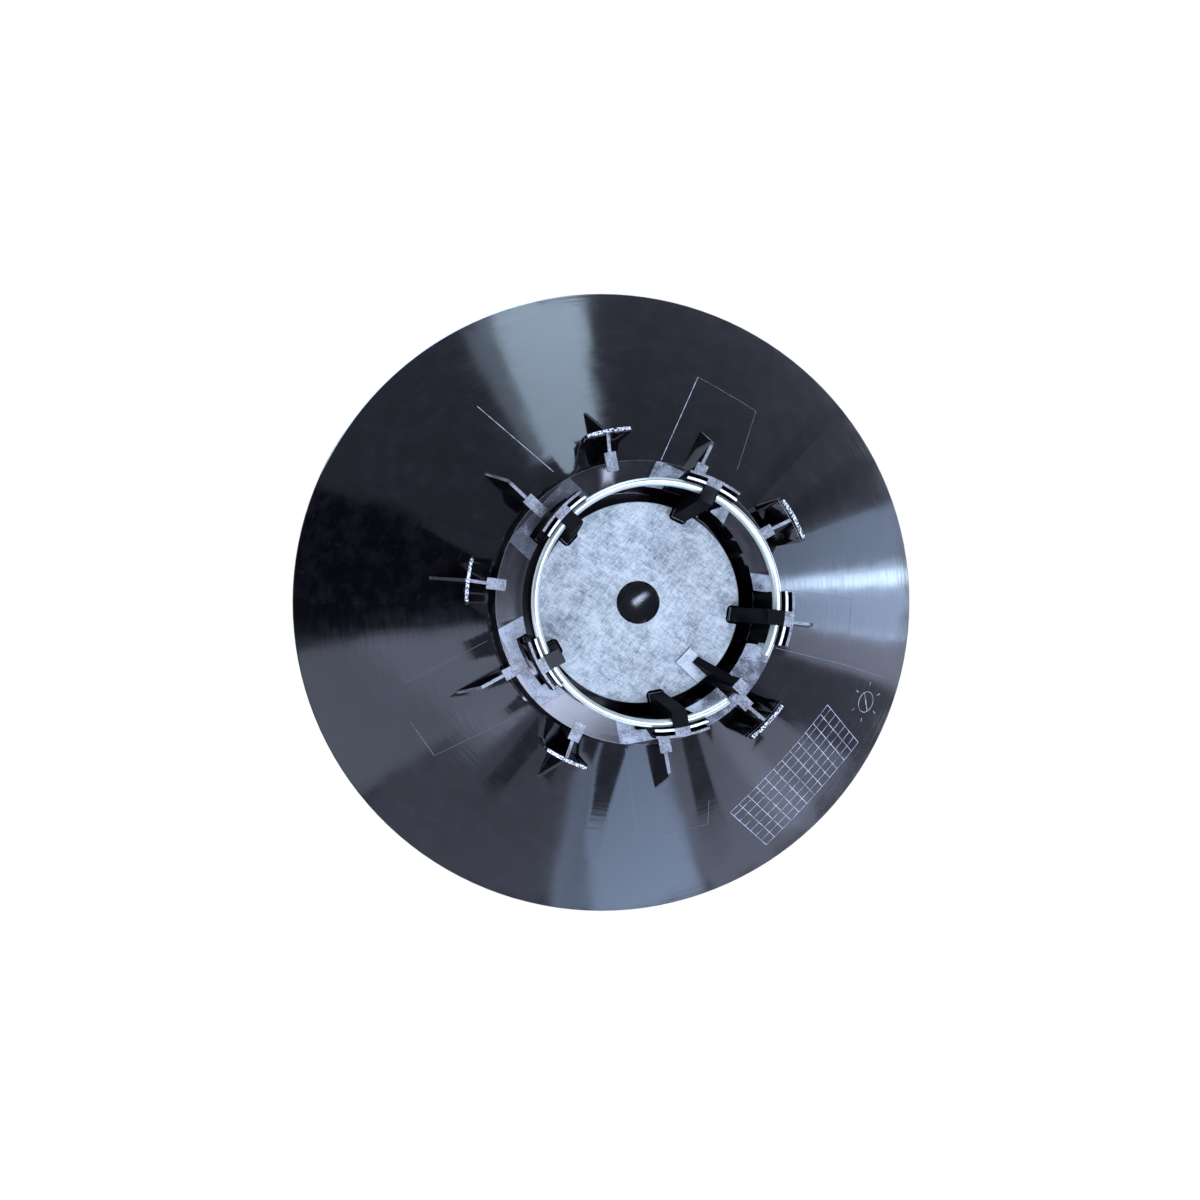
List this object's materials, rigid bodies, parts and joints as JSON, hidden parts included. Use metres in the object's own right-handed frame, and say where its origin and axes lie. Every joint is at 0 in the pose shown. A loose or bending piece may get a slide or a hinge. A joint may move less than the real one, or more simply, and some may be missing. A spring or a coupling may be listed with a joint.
{
  "type": "wheel centre cap",
  "caption": "Dished plastic wheel centre cap with a hub ring, snap clips, stops and ribs on its back, and an open wire ring that spreads the clips.",
  "frame": {"origin": "centre of the plane of the front rim, on which the cap lies", "axes": "+Z along the cap's axis towards its back, where the clips are; +X and +Y lie in the rim plane, +X to the right of the picture"},
  "size_m": [0.2, 0.2, 0.0482],
  "materials": {
    "black_moulding": "glossy black, as moulded",
    "spring_wire": "bright drawn wire"
  },
  "bodies": {
    "root": {"cap_body": "black_moulding", "retaining_ring": "spring_wire"}
  },
  "joints": []
}
